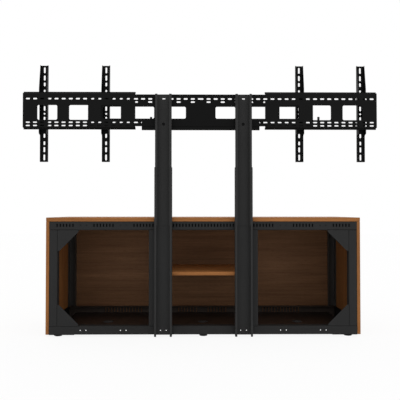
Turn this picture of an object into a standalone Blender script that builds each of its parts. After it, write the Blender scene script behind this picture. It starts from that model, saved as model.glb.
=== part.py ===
# A three-bay AV credenza that carries a dual display mount on two telescoping columns.
# It is open behind: the rear is at -Y, the doors are at +Y and the floor is at Z = 0.
# All sizes are metres. Places below are measured from the middle of the cabinet, its rear
# plane and the floor, and one empty moves the whole to the middle of its own box.

import bmesh
import bpy
from math import cos
from math import pi
from math import sin
from math import tan
from mathutils import Matrix
from mathutils import Vector

# Gaps between pieces that touch and pieces that slide
SEAM = 0.0003
SLIDE_GAP = 0.0005

# Cabinet panels
CABINET_WIDTH = 1.830
CABINET_HEIGHT = 0.690
TOP_THICKNESS = 0.023
TOP_OVERHANG = 0.023
SIDE_THICKNESS = 0.019
EDGE_RADIUS = 0.0015

# Steel frame of folded sheet
BASE_CLEARANCE = 0.0115
FRAME_DEPTH = 0.528
FRAME_SHEET = 0.002
BEND_RADIUS = 0.003
BEND_STEPS = 1
RAIL_HEIGHT = 0.0495
TALL_RAIL_HEIGHT = 0.079
SECTION_DEPTH = 0.045
POST_WIDTH = 0.048
MIDDLE_BAY = 0.540
GUSSET_LEG = 0.1215
GUSSET_TIP = 0.010
GUSSET_FLANGE = 0.018

# Openings in the frame: hole pairs every half rack width, with vents between them
RACK_SPACING = 0.4651
PAIR_SPACING = 0.033
PAIR_HOLE = 0.006
VENT_WIDTH = 0.0075
VENT_HEIGHT = 0.0185
VENT_RISE = 0.003
VENT_PITCH = 0.0184
VENT_MARGIN = 0.038
FRONT_VENT_HEIGHT = 0.030
FRONT_VENT_RISE = 0.0515
FRONT_VENT_PITCH = 0.020
OUTER_VENTS_MIDDLE = 0.530
OUTER_VENTS_LENGTH = 0.248
INNER_VENTS_MIDDLE = 0.099
INNER_VENTS_LENGTH = 0.138

# Floor pans and their cable plugs
PAN_SHEET = 0.0015
PAN_HEIGHT = 0.006
PAN_RISE = 0.029
PLUG_RADIUS = 0.0255
PLUG_RIM = 0.004
PLUG_CAP = 0.003
PLUG_BOSS = 0.010
PLUG_SETBACK = 0.206

# Shelf of the middle bay
SHELF_THICKNESS = 0.0195
SHELF_TOP = 0.373
SHELF_FRONT_ROOM = 0.043
SHELF_SETBACK = 0.003
SHELF_CLEARANCE = 0.0015
SHELF_RAIL_LEG = 0.025

# Levelling feet and the plates that they screw into
FOOT_RADIUS = 0.024
FOOT_PAD = 0.007
FOOT_EDGE = 0.003
FOOT_COLLAR_RADIUS = 0.010
STUD_RADIUS = 0.005
STUD_LENGTH = 0.018
FOOT_INSET = 0.048
FOOT_SETBACK = 0.0325
FOOT_PLATE = 0.002
FOOT_PLATE_LENGTH = 0.145
MIDDLE_PLATE_LENGTH = 0.040
TURNED_SIDES = 12

# Doors on pivot pins
DOOR_THICKNESS = 0.019
DOOR_CLEARANCE = 0.014
DOOR_GAP = 0.004
DOOR_TOP_GAP = 0.007
DOOR_BOTTOM = 0.034
PIVOT_INSET = 0.016
PIN_RADIUS = 0.004
PIN_LENGTH = 0.018
PIN_SIDES = 8
PIVOT_PLATE = 0.003
PIVOT_WIDTH = 0.024
PIVOT_NOSE = 0.008
PIVOT_LEG = 0.030

# Columns: an upper lipped channel slides in a lower one
COLUMN_WIDTH = 0.102
COLUMN_DEPTH = 0.045
COLUMN_STEEL = 0.003
COLUMN_LIP = 0.012
UPPER_LIP = 0.0135
COLUMN_FLOOR_GAP = 0.008
COLUMN_LEG_DEPTH = 0.012
LOWER_COLUMN_TOP = 0.980
COLUMN_OVERLAP = 0.336
COLUMN_TOP_INSET = 0.0035
COLUMN_SLOT_LENGTH = 0.020
COLUMN_SLOT_HEIGHT = 0.006
COLUMN_HOLE = 0.018
COLUMN_HOLE_INSET = 0.012

# Display rail: a centre plate, a stiffening bar and two extension channels
MOUNT_SHIFT = -0.0185
MOUNT_STEEL = 0.0025
CENTRE_SHIFT = 0.0025
CENTRE_LENGTH = 1.3155
CENTRE_BOTTOM = 1.2228
CENTRE_HEIGHT = 0.1866
BAR_END_ROOM = 0.0345
BAR_DROP = 0.021
BAR_HEIGHT = 0.060
BAR_DEPTH = 0.015
EXTENSION_LENGTH = 0.655
EXTENSION_OVERLAP = 0.27875
EXTENSION_PLAY = 0.006
EXTENSION_DEPTH = 0.0205
HOOK_LIP = 0.009
SLOT_LENGTH = 0.023
SLOT_HEIGHT = 0.0088
LOWER_SLOT_HEIGHT = 0.0075
SLOT_PITCH = 0.0415
CENTRE_SLOT_LENGTH = 0.032
FIRST_SLOT = 0.0462
EXTENSION_FIRST_SLOT = 0.0298
UPPER_ROW_INSET = 0.0262
SECOND_ROW_DROP = 0.0183
LOWER_ROW_INSET = 0.0224
LOWEST_ROW_DROP = 0.0192
WINDOW_LENGTH = 0.1156
WINDOW_PITCH = 0.185
WINDOW_DROP = 0.0136
WINDOW_CORNER = 0.006
CENTRE_WINDOW_START = 0.087
CENTRE_WINDOW_HEIGHT = 0.0695
EXTENSION_WINDOW_START = 0.0848
EXTENSION_WINDOW_HEIGHT = 0.086

# Display brackets that hook over the extension channels
BRACKET_WIDTH = 0.0455
BRACKET_STEEL = 0.0025
BRACKET_LENGTH = 0.571
BRACKET_DROP = 0.013
BRACKET_END_DEPTH = 0.015
BRACKET_REACH = 0.0305
BRACKET_HOOK = 0.008
BRACKET_SHOULDER = 0.018
BRACKET_FOOT = 0.022
BRACKET_FOOT_TAPER = 0.010
BRACKET_SLOT_WIDTH = 0.010
# Each slot's distance from the nearer end of the bracket, and its length
BRACKET_SLOTS = (
    (0.027, 0.034),
    (0.073, 0.030),
    (0.111, 0.022),
    (0.155, 0.024),
    (0.254, 0.027),
)
LEFT_BRACKET_INSET = 0.1135
RIGHT_BRACKET_INSET = 0.083
BRACKET_SPACING = 0.364

# Finishes: linear colour, roughness and metallic value
WOOD = ((0.245, 0.105, 0.036), 0.42, 0.0)
FRAME_PAINT = ((0.027, 0.028, 0.029), 0.50, 0.0)
MOUNT_PAINT = ((0.009, 0.009, 0.009), 0.45, 0.0)
ZINC = ((0.50, 0.51, 0.52), 0.35, 1.0)
BLACK_PLASTIC = ((0.012, 0.012, 0.012), 0.55, 0.0)

# Values worked out from the sizes above
HALF_INSIDE = CABINET_WIDTH / 2 - SIDE_THICKNESS
HALF_BAY = MIDDLE_BAY / 2
DIVIDE = HALF_BAY + POST_WIDTH / 2
OUTER_OPENING = HALF_INSIDE - POST_WIDTH
INNER_OPENING = HALF_BAY + POST_WIDTH
TOP_UNDERSIDE = CABINET_HEIGHT - TOP_THICKNESS
RAIL_TOP = BASE_CLEARANCE + RAIL_HEIGHT
TOP_RAIL_BOTTOM = TOP_UNDERSIDE - SEAM - RAIL_HEIGHT
REAR_POST_BOTTOM = RAIL_TOP + SEAM
FRONT_POST_BOTTOM = BASE_CLEARANCE + TALL_RAIL_HEIGHT + SEAM
POST_TOP = TOP_RAIL_BOTTOM - SEAM
DOOR_BACK = FRAME_DEPTH + DOOR_CLEARANCE
SIDE_DEPTH = DOOR_BACK + DOOR_THICKNESS
TOP_DEPTH = SIDE_DEPTH + TOP_OVERHANG
PIVOT_Y = DOOR_BACK + DOOR_THICKNESS / 2
DOOR_TOP = TOP_UNDERSIDE - DOOR_TOP_GAP
PAN_BOTTOM = BASE_CLEARANCE + PAN_RISE
PAN_TOP = PAN_BOTTOM + PAN_HEIGHT
SHELF_BOTTOM = SHELF_TOP - SHELF_THICKNESS
LOWER_WEB = -SEAM
UPPER_WEB = LOWER_WEB - COLUMN_STEEL - SLIDE_GAP
CENTRE_MIDDLE = MOUNT_SHIFT + CENTRE_SHIFT
CENTRE_TOP = CENTRE_BOTTOM + CENTRE_HEIGHT
CENTRE_REAR = UPPER_WEB + SEAM
CENTRE_FRONT = CENTRE_REAR + MOUNT_STEEL
UPPER_ROW = CENTRE_TOP - UPPER_ROW_INSET
SECOND_ROW = UPPER_ROW - SECOND_ROW_DROP
LOWER_ROW = CENTRE_BOTTOM + LOWER_ROW_INSET
LOWEST_ROW = LOWER_ROW - LOWEST_ROW_DROP
BAR_LENGTH = CENTRE_LENGTH - 2 * (EXTENSION_OVERLAP + BAR_END_ROOM)
EXTENSION_RISE = EXTENSION_PLAY + MOUNT_STEEL + HOOK_LIP
EXTENSION_BOTTOM = CENTRE_BOTTOM - EXTENSION_RISE
EXTENSION_TOP = CENTRE_TOP + EXTENSION_RISE
EXTENSION_WEB = CENTRE_REAR - SLIDE_GAP
EXTENSION_FRONT = EXTENSION_WEB - MOUNT_STEEL + EXTENSION_DEPTH
EXTENSION_REACH = CENTRE_LENGTH / 2 + EXTENSION_LENGTH - EXTENSION_OVERLAP
BRACKET_FACE = EXTENSION_FRONT + SLIDE_GAP + BRACKET_REACH
BRACKET_REAR = EXTENSION_FRONT - MOUNT_STEEL - SLIDE_GAP - BRACKET_HOOK
BRACKET_MIDDLE = (CENTRE_BOTTOM + CENTRE_TOP) / 2 - BRACKET_DROP
BRACKET_BOTTOM = BRACKET_MIDDLE - BRACKET_LENGTH / 2
BRACKET_TOP = BRACKET_MIDDLE + BRACKET_LENGTH / 2
PAIR_PITCH = RACK_SPACING / 2
OCTAGON = 0.2929
THROUGH = 4

for old in list(bpy.data.objects):
    bpy.data.objects.remove(old)

PARTS = bpy.data.collections.new("av_credenza")
CUTTERS = bpy.data.collections.new("cutters")
bpy.context.scene.collection.children.link(PARTS)
bpy.context.scene.collection.children.link(CUTTERS)


def empty(name, parent, at):
    body = bpy.data.objects.new(name, None)
    PARTS.objects.link(body)
    body.parent = parent
    body.location = within(parent, at)
    return body


def within(parent, at):
    """A place in the cabinet, as seen from a body's empty."""
    at = Vector(at)
    while parent is not None and parent.parent is not None:
        at = at - parent.location
        parent = parent.parent
    return at


def paint(name, finish):
    colour, roughness, metallic = finish
    material = bpy.data.materials.new(name + "_finish")
    material.use_nodes = True
    shader = material.node_tree.nodes["Principled BSDF"]
    shader.inputs["Base Color"].default_value = (*colour, 1)
    shader.inputs["Roughness"].default_value = roughness
    shader.inputs["Metallic"].default_value = metallic
    material.diffuse_color = (*colour, 1)
    return material


def mesh_of(name, bm):
    mesh = bpy.data.meshes.new(name)
    bm.to_mesh(mesh)
    bm.free()
    return mesh


def piece(name, mesh, parent, finish, at=(0, 0, 0)):
    """A named part whose mesh is measured from the place at."""
    obj = bpy.data.objects.new(name, mesh)
    PARTS.objects.link(obj)
    obj.parent = parent
    obj.location = within(parent, at)
    mesh.materials.append(paint(name, finish))
    return obj


def helper(name, mesh, parent):
    """A hidden shape that cuts or joins a part of the same body."""
    obj = bpy.data.objects.new(name, mesh)
    CUTTERS.objects.link(obj)
    obj.parent = parent
    obj.location = within(parent, (0, 0, 0))
    obj.hide_render = True
    obj.display_type = "WIRE"
    return obj


def combine(obj, operation, mesh):
    """Adds one hidden shape to a part, or takes it away."""
    modifier = obj.modifiers.new(operation.lower(), "BOOLEAN")
    modifier.operation = operation
    modifier.solver = "EXACT"
    modifier.object = helper(f"{obj.name}_{operation.lower()}", mesh, obj.parent)


def box_mesh(name, boxes):
    """One mesh of boxes, each given by its lowest and highest corner."""
    bm = bmesh.new()
    for low, high in boxes:
        middle = (Vector(low) + Vector(high)) / 2
        size = Vector(high) - Vector(low)
        place = Matrix.Translation(middle) @ Matrix.Diagonal((*size, 1))
        bmesh.ops.create_cube(bm, size=1, matrix=place)
    return mesh_of(name, bm)


def panel(name, low, high, parent, finish):
    """A wooden slab with eased edges."""
    middle = (Vector(low) + Vector(high)) / 2
    half = (Vector(high) - Vector(low)) / 2
    obj = piece(name, box_mesh(name, [(-half, half)]), parent, finish, middle)
    ease = obj.modifiers.new("eased edges", "BEVEL")
    ease.width = EDGE_RADIUS
    ease.segments = 1
    return obj


def along(axis, distance, point):
    """A point of a section, carried a distance along the axis that the section faces."""
    place = list(point)
    place.insert(axis, distance)
    return Vector(place)


def bent(fold):
    """A folded line with every corner made an arc."""
    points = [Vector(fold[0])]
    for before, corner, after in zip(fold, fold[1:], fold[2:]):
        corner = Vector(corner)
        back = (Vector(before) - corner).normalized()
        ahead = (Vector(after) - corner).normalized()
        half_angle = back.angle(ahead) / 2
        centre = corner + (back + ahead).normalized() * BEND_RADIUS / sin(half_angle)
        first = corner + back * BEND_RADIUS / tan(half_angle) - centre
        last = corner + ahead * BEND_RADIUS / tan(half_angle) - centre
        for step in range(BEND_STEPS + 1):
            points.append(centre + first.slerp(last, step / BEND_STEPS) * BEND_RADIUS)
    points.append(Vector(fold[-1]))
    return points


def sheet(name, fold, axis, start, end, steel, parent, finish):
    """Folded sheet: a line down the middle of the steel, swept along an axis."""
    bm = bmesh.new()
    line = [bm.verts.new(along(axis, start, point)) for point in bent(fold)]
    edges = [bm.edges.new(ends) for ends in zip(line, line[1:])]
    swept = bmesh.ops.extrude_edge_only(bm, edges=edges)["geom"]
    moved = [part for part in swept if isinstance(part, bmesh.types.BMVert)]
    bmesh.ops.translate(bm, verts=moved, vec=along(axis, end - start, (0, 0)))
    bmesh.ops.recalc_face_normals(bm, faces=bm.faces)
    obj = piece(name, mesh_of(name, bm), parent, finish)
    wall = obj.modifiers.new("steel", "SOLIDIFY")
    wall.thickness = steel
    wall.offset = 0
    wall.use_even_offset = True
    return obj


def punch(obj, places, size, axis, rounded=True):
    """Cuts one opening of the same size at every place, right through along the axis."""
    bm = bmesh.new()
    for place in places:
        shape = Matrix.Translation(place) @ Matrix.Diagonal((*size, 1))
        bmesh.ops.create_cube(bm, size=1, matrix=shape)
    if rounded:
        sides = [length for side, length in enumerate(size) if side != axis]
        corners = [edge for edge in bm.edges if runs_along(edge, axis)]
        bmesh.ops.bevel(
            bm,
            geom=corners,
            offset=min(sides) * OCTAGON,
            segments=1,
            affect="EDGES",
        )
    combine(obj, "DIFFERENCE", mesh_of(obj.name + "_openings", bm))


def runs_along(edge, axis):
    start, end = (vert.co for vert in edge.verts)
    return abs((end - start).normalized()[axis]) > 0.9


def outline_mesh(name, outline, low, high):
    """A flat outline in Y and Z, as thick as the span from low to high in X."""
    curve = bpy.data.curves.new(name, "CURVE")
    curve.dimensions = "2D"
    curve.fill_mode = "BOTH"
    curve.extrude = (high - low) / 2
    spline = curve.splines.new("POLY")
    spline.points.add(len(outline) - 1)
    for point, place in zip(spline.points, outline):
        point.co = (*place, 0, 1)
    spline.use_cyclic_u = True
    pattern = bpy.data.objects.new(name, curve)
    mesh = bpy.data.meshes.new_from_object(pattern)
    bpy.data.objects.remove(pattern)
    bpy.data.curves.remove(curve)
    to_side = Matrix(((0, 0, 1, (low + high) / 2), (1, 0, 0, 0), (0, 1, 0, 0), (0, 0, 0, 1)))
    bm = bmesh.new()
    bm.from_mesh(mesh)
    bpy.data.meshes.remove(mesh)
    bmesh.ops.remove_doubles(bm, verts=bm.verts, dist=SEAM / 100)
    bmesh.ops.transform(bm, matrix=to_side, verts=bm.verts)
    bmesh.ops.recalc_face_normals(bm, faces=bm.faces)
    return mesh_of(name, bm)


def turned(name, profile, at, parent, finish):
    """A shape turned on its own upright axis."""
    bm = bmesh.new()
    line = [bm.verts.new((radius, 0, height)) for radius, height in profile]
    for ends in zip(line, line[1:]):
        bm.edges.new(ends)
    obj = piece(name, mesh_of(name, bm), parent, finish, at)
    turn = obj.modifiers.new("turn", "SCREW")
    turn.steps = TURNED_SIDES
    turn.render_steps = TURNED_SIDES
    turn.use_merge_vertices = True
    turn.merge_threshold = SEAM / 100
    turn.use_normal_calculate = True
    return obj


def pin_mesh(name, x, low, high, radius):
    """An upright round bar on a door's pivot line."""
    bm = bmesh.new()
    middle = Matrix.Translation((x, PIVOT_Y, (low + high) / 2))
    bmesh.ops.create_cone(
        bm,
        cap_ends=True,
        segments=PIN_SIDES,
        radius1=radius,
        radius2=radius,
        depth=high - low,
        matrix=middle,
    )
    return mesh_of(name, bm)


CREDENZA = empty("credenza", None, (-MOUNT_SHIFT, (COLUMN_DEPTH - TOP_DEPTH) / 2, 0))


def wooden_case():
    half = CABINET_WIDTH / 2
    panel("top_panel", (-half, 0, TOP_UNDERSIDE), (half, TOP_DEPTH, CABINET_HEIGHT), CREDENZA, WOOD)
    for name, outer, inner in (("left", -half, -HALF_INSIDE), ("right", half, HALF_INSIDE)):
        low = (min(outer, inner), 0, BASE_CLEARANCE)
        high = (max(outer, inner), SIDE_DEPTH, TOP_UNDERSIDE - SEAM)
        panel(name + "_side_panel", low, high, CREDENZA, WOOD)


def cross_rail(name, web, flange, bottom, height):
    """A channel across the cabinet, with its web at one depth and its flanges' edges at another."""
    inward = FRAME_SHEET / 2 if flange > web else -FRAME_SHEET / 2
    low = bottom + FRAME_SHEET / 2
    high = bottom + height - FRAME_SHEET / 2
    fold = [(flange, low), (web + inward, low), (web + inward, high), (flange, high)]
    end = HALF_INSIDE - SEAM
    return sheet(name, fold, 0, -end, end, FRAME_SHEET, CREDENZA, FRAME_PAINT)


def hole_pairs(y, z):
    """The hole pairs of a cross rail, one every half rack width, none in the middle."""
    steps = int(OUTER_OPENING / PAIR_PITCH)
    middles = [step * PAIR_PITCH for step in range(-steps, steps + 1) if step]
    return [(x + side * PAIR_SPACING / 2, y, z) for x in middles for side in (-1, 1)]


def slot_row(middle, room, pitch):
    """As many slots as the room holds, spread evenly about the middle."""
    count = int(room / pitch) + 1
    return [middle + pitch * (n - (count - 1) / 2) for n in range(count)]


def vent_places(y, z):
    """A long row of vents in the middle and a short row between the hole pairs on each side."""
    taken = PAIR_SPACING + 2 * VENT_MARGIN
    row = slot_row(0, 2 * PAIR_PITCH - taken, VENT_PITCH)
    steps = int(OUTER_OPENING / PAIR_PITCH)
    for step in range(1, steps + 1):
        group = slot_row((step + 0.5) * PAIR_PITCH, PAIR_PITCH - taken, VENT_PITCH)
        group = [x for x in group if x < OUTER_OPENING + VENT_WIDTH]
        row += group + [-x for x in group]
    return [(x, y, z) for x in row]


def foot_columns():
    outer = HALF_INSIDE - FOOT_INSET
    return {"left": -outer, "middle": 0, "right": outer}


def foot_plates(low, high):
    """Welded plates under a bottom rail, from its ends inward and in its middle."""
    end = HALF_INSIDE - SEAM
    bottom = BASE_CLEARANCE - FOOT_PLATE
    top = BASE_CLEARANCE + FRAME_SHEET / 2
    spans = (
        (-end, FOOT_PLATE_LENGTH - end),
        (-MIDDLE_PLATE_LENGTH / 2, MIDDLE_PLATE_LENGTH / 2),
        (end - FOOT_PLATE_LENGTH, end),
    )
    return [((left, low, bottom), (right, high, top)) for left, right in spans]


def front_vents():
    """The vents of the front bottom rail, the same on both sides of the middle."""
    row = slot_row(INNER_VENTS_MIDDLE, INNER_VENTS_LENGTH, FRONT_VENT_PITCH)
    row += slot_row(OUTER_VENTS_MIDDLE, OUTER_VENTS_LENGTH, FRONT_VENT_PITCH)
    web = FRAME_DEPTH - FRAME_SHEET / 2
    return [(sign * x, web, BASE_CLEARANCE + FRONT_VENT_RISE) for x in row for sign in (-1, 1)]


def cross_rails():
    through = FRAME_SHEET * THROUGH
    hole = (PAIR_HOLE, through, PAIR_HOLE)
    rear_web = FRAME_SHEET / 2
    inner_edge = FRAME_DEPTH - SECTION_DEPTH

    rear_top = cross_rail("rear_top_rail", 0, SECTION_DEPTH, TOP_RAIL_BOTTOM, RAIL_HEIGHT)
    middle = TOP_RAIL_BOTTOM + RAIL_HEIGHT / 2 + VENT_RISE
    punch(rear_top, vent_places(rear_web, middle), (VENT_WIDTH, through, VENT_HEIGHT), 1, False)
    punch(rear_top, hole_pairs(rear_web, middle), hole, 1)
    cross_rail("front_top_rail", FRAME_DEPTH, inner_edge, TOP_RAIL_BOTTOM, RAIL_HEIGHT)

    rear_ends = (0, SECTION_DEPTH, BASE_CLEARANCE, RAIL_HEIGHT)
    rear_bottom = cross_rail("rear_bottom_rail", *rear_ends)
    punch(rear_bottom, hole_pairs(rear_web, BASE_CLEARANCE + RAIL_HEIGHT / 2), hole, 1)
    front_ends = (FRAME_DEPTH, inner_edge, BASE_CLEARANCE, TALL_RAIL_HEIGHT)
    front_bottom = cross_rail("front_bottom_rail", *front_ends)
    punch(front_bottom, front_vents(), (VENT_WIDTH, through, FRONT_VENT_HEIGHT), 1, False)

    stud = 2 * (STUD_RADIUS + SEAM)
    stud_depth = FOOT_PLATE * THROUGH * 2
    for rail, near, far, foot_y in (
        (rear_bottom, 0, SECTION_DEPTH, FOOT_SETBACK),
        (front_bottom, inner_edge, FRAME_DEPTH, FRAME_DEPTH - FOOT_SETBACK),
    ):
        plates = foot_plates(near + FRAME_SHEET, far - FRAME_SHEET)
        combine(rail, "UNION", box_mesh(rail.name + "_plates", plates))
        studs = [(x, foot_y, BASE_CLEARANCE) for x in foot_columns().values()]
        punch(rail, studs, (stud, stud, stud_depth), 2)


def post(name, left, web, flange, bottom):
    """An upright channel whose web faces away from the cabinet's inside."""
    inward = FRAME_SHEET / 2 if flange > web else -FRAME_SHEET / 2
    low = left + FRAME_SHEET / 2
    high = left + POST_WIDTH - SEAM - FRAME_SHEET / 2
    fold = [(low, flange), (low, web + inward), (high, web + inward), (high, flange)]
    sheet(name, fold, 2, bottom, POST_TOP, FRAME_SHEET, CREDENZA, FRAME_PAINT)


def posts():
    lefts = {
        "left": -HALF_INSIDE + SEAM,
        "inner_left": -INNER_OPENING + SEAM,
        "inner_right": HALF_BAY,
        "right": OUTER_OPENING,
    }
    inner_edge = FRAME_DEPTH - SECTION_DEPTH
    for place, left in lefts.items():
        post(f"rear_{place}_post", left, 0, SECTION_DEPTH, REAR_POST_BOTTOM)
        post(f"front_{place}_post", left, FRAME_DEPTH, inner_edge, FRONT_POST_BOTTOM)


def side_rails():
    """Angles that tie the rear frame to the front frame along each side panel."""
    start = SECTION_DEPTH + SEAM
    end = FRAME_DEPTH - SECTION_DEPTH - SEAM
    wall = HALF_INSIDE - SEAM - FRAME_SHEET / 2
    legs = {
        "bottom": (BASE_CLEARANCE + FRAME_SHEET / 2, BASE_CLEARANCE + TALL_RAIL_HEIGHT),
        "top": (TOP_UNDERSIDE - SEAM - FRAME_SHEET / 2, TOP_RAIL_BOTTOM),
    }
    for side, sign in (("left", -1), ("right", 1)):
        for level, (flat, edge) in legs.items():
            fold = [(sign * wall, edge), (sign * wall, flat), (sign * OUTER_OPENING, flat)]
            name = f"{side}_{level}_side_rail"
            sheet(name, fold, 1, start, end, FRAME_SHEET, CREDENZA, FRAME_PAINT)


def gusset_mesh(name, corner, across, up, leg, low, high):
    """A triangle with clipped tips, standing in a corner of the rear opening."""
    x, z = corner
    outline = (
        (0, 0),
        (leg, 0),
        (leg, GUSSET_TIP),
        (GUSSET_TIP, leg),
        (0, leg),
    )
    # The outline is laid down in Y and Z, so a quarter turn brings it to X and Z.
    mesh = outline_mesh(name, outline, low, high)
    turn = Matrix(((0, across, 0, x), (1, 0, 0, 0), (0, 0, up, z), (0, 0, 0, 1)))
    mesh.transform(turn)
    bm = bmesh.new()
    bm.from_mesh(mesh)
    bpy.data.meshes.remove(mesh)
    bmesh.ops.recalc_face_normals(bm, faces=bm.faces)
    return mesh_of(name, bm)


def gussets():
    """Folded corner plates: a triangle with a flange along the post and one along the rail."""
    for side, sign in (("left", -1), ("right", 1)):
        for level, z, up in (("bottom", REAR_POST_BOTTOM, 1), ("top", POST_TOP, -1)):
            name = f"{side}_{level}_gusset"
            corner = (sign * (OUTER_OPENING - SEAM), z)
            inside = (corner[0] - sign * FRAME_SHEET, z + up * FRAME_SHEET)
            mesh = gusset_mesh(name, corner, -sign, up, GUSSET_LEG, SEAM, GUSSET_FLANGE)
            plate = piece(name, mesh, CREDENZA, FRAME_PAINT)
            hollow = (FRAME_SHEET + SEAM, GUSSET_FLANGE * 2)
            combine(plate, "DIFFERENCE", gusset_mesh(name, inside, -sign, up, GUSSET_LEG, *hollow))


def floor_pan(name, left, right):
    """A tray turned upside down between the bottom rails' webs, with one cable hole."""
    end_room = FRAME_SHEET + SEAM
    low = Vector((left + SEAM, end_room, PAN_BOTTOM))
    high = Vector((right - SEAM, FRAME_DEPTH - end_room, PAN_TOP))
    bm = bmesh.new()
    bm.from_mesh(box_mesh(name, [(low, high)]))
    underside = [face for face in bm.faces if face.normal.z < -0.5]
    bmesh.ops.delete(bm, geom=underside, context="FACES_ONLY")
    pan = piece(name, mesh_of(name, bm), CREDENZA, FRAME_PAINT)
    wall = pan.modifiers.new("steel", "SOLIDIFY")
    wall.thickness = PAN_SHEET
    wall.use_even_offset = True
    sheet_middle = PAN_TOP - PAN_SHEET / 2
    hole_at = Vector(((left + right) / 2, low.y + PLUG_SETBACK, sheet_middle))
    hole = Matrix.Translation(hole_at)
    bm = bmesh.new()
    bmesh.ops.create_cone(
        bm,
        cap_ends=True,
        segments=TURNED_SIDES,
        radius1=PLUG_RADIUS,
        radius2=PLUG_RADIUS,
        depth=PAN_SHEET * THROUGH,
        matrix=hole,
    )
    combine(pan, "DIFFERENCE", mesh_of(name + "_cable_hole", bm))
    boss = PLUG_RADIUS - SLIDE_GAP
    seat = PAN_TOP + SEAM
    profile = (
        (0, seat - PLUG_BOSS),
        (boss, seat - PLUG_BOSS),
        (boss, seat),
        (PLUG_RADIUS + PLUG_RIM, seat),
        (PLUG_RADIUS + PLUG_RIM, seat + PLUG_CAP / 2),
        (PLUG_RADIUS + PLUG_RIM - PLUG_CAP / 2, seat + PLUG_CAP),
        (0, seat + PLUG_CAP),
    )
    plug_name = name.replace("floor_pan", "cable_plug")
    turned(plug_name, profile, (hole_at.x, hole_at.y, 0), CREDENZA, BLACK_PLASTIC)


def floor_pans():
    floor_pan("left_floor_pan", -OUTER_OPENING, -INNER_OPENING)
    floor_pan("middle_floor_pan", -HALF_BAY, HALF_BAY)
    floor_pan("right_floor_pan", INNER_OPENING, OUTER_OPENING)


def middle_shelf():
    """A wooden shelf on two angles that run along the inner posts."""
    half = HALF_BAY - SHELF_CLEARANCE
    low = (-half, SHELF_SETBACK, SHELF_BOTTOM)
    panel("middle_shelf", low, (half, FRAME_DEPTH - SHELF_FRONT_ROOM, SHELF_TOP), CREDENZA, WOOD)
    wall = HALF_BAY - SEAM - FRAME_SHEET / 2
    seat = SHELF_BOTTOM - SEAM - FRAME_SHEET / 2
    for side, sign in (("left", -1), ("right", 1)):
        fold = [
            (sign * (HALF_BAY - SHELF_RAIL_LEG), seat),
            (sign * wall, seat),
            (sign * wall, seat - SHELF_RAIL_LEG),
        ]
        start = SHELF_SETBACK
        end = FRAME_DEPTH - SHELF_SETBACK
        name = side + "_shelf_rail"
        sheet(name, fold, 1, start, end, FRAME_SHEET, CREDENZA, FRAME_PAINT)


def levelling_feet():
    """A pad with a collar that bears on the foot plate, and a stud that goes up through it."""
    collar_top = BASE_CLEARANCE - FOOT_PLATE - SEAM
    profile = (
        (0, 0),
        (FOOT_RADIUS - FOOT_EDGE, 0),
        (FOOT_RADIUS, FOOT_EDGE),
        (FOOT_COLLAR_RADIUS, FOOT_PAD),
        (FOOT_COLLAR_RADIUS, collar_top),
        (STUD_RADIUS, collar_top),
        (STUD_RADIUS, BASE_CLEARANCE + STUD_LENGTH),
        (0, BASE_CLEARANCE + STUD_LENGTH),
    )
    rows = {"rear": FOOT_SETBACK, "front": FRAME_DEPTH - FOOT_SETBACK}
    for row, y in rows.items():
        for column, x in foot_columns().items():
            turned(f"{row}_{column}_foot", profile, (x, y, 0), CREDENZA, BLACK_PLASTIC)


def pivot(name, x, plate, leg_end, pin):
    """A folded bracket on the front frame, with a pin that stands into the door's edge."""
    wall = FRAME_DEPTH + SEAM + PIVOT_PLATE / 2
    fold = [(wall, leg_end), (wall, plate), (PIVOT_Y + PIVOT_NOSE, plate)]
    half = PIVOT_WIDTH / 2
    bracket = sheet(name, fold, 0, x - half, x + half, PIVOT_PLATE, CREDENZA, ZINC)
    ends = (plate, plate + pin)
    combine(bracket, "UNION", pin_mesh(name + "_pin", x, min(ends), max(ends), PIN_RADIUS))


def door(name, left, right, hinge):
    """A slab that turns on two pins, set in from its hinged edge."""
    x = left + PIVOT_INSET if hinge == "left" else right - PIVOT_INSET
    body = empty(name + "_swing", CREDENZA, (x, PIVOT_Y, 0))
    low = (left, DOOR_BACK, DOOR_BOTTOM)
    slab = panel(name, low, (right, SIDE_DEPTH, DOOR_TOP), body, WOOD)
    bottom_plate = DOOR_BOTTOM - SEAM - PIVOT_PLATE / 2
    top_plate = (DOOR_TOP + TOP_UNDERSIDE) / 2
    bottom_end = bottom_plate + PIN_LENGTH + SEAM
    top_end = top_plate - PIN_LENGTH - SEAM
    bore = (PIN_RADIUS + SEAM) / cos(pi / PIN_SIDES)
    combine(slab, "DIFFERENCE", pin_mesh(name + "_bore", x, bottom_plate, bottom_end, bore))
    combine(slab, "DIFFERENCE", pin_mesh(name + "_bore", x, top_end, top_plate, bore))
    pivot(name + "_bottom_pivot", x, bottom_plate, bottom_plate + PIVOT_LEG, PIN_LENGTH)
    pivot(name + "_top_pivot", x, top_plate, top_plate - PIVOT_LEG, -PIN_LENGTH)


def doors():
    outer = HALF_INSIDE - DOOR_GAP
    meeting = DIVIDE + DOOR_GAP / 2
    door("left_door", -outer, -meeting, "left")
    door("middle_door", -DIVIDE + DOOR_GAP / 2, DIVIDE - DOOR_GAP / 2, "left")
    door("right_door", meeting, outer, "right")


def lipped_channel(name, x, half, web, lips, steel_lip, low, high, parent):
    """A column of C section, open to the rear, with its edges folded in."""
    front = web - COLUMN_STEEL / 2
    rear = lips + COLUMN_STEEL / 2
    side = half - COLUMN_STEEL / 2
    fold = [
        (x - half + steel_lip, rear),
        (x - side, rear),
        (x - side, front),
        (x + side, front),
        (x + side, rear),
        (x + half - steel_lip, rear),
    ]
    return sheet(name, fold, 2, low, high, COLUMN_STEEL, parent, FRAME_PAINT)


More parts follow.
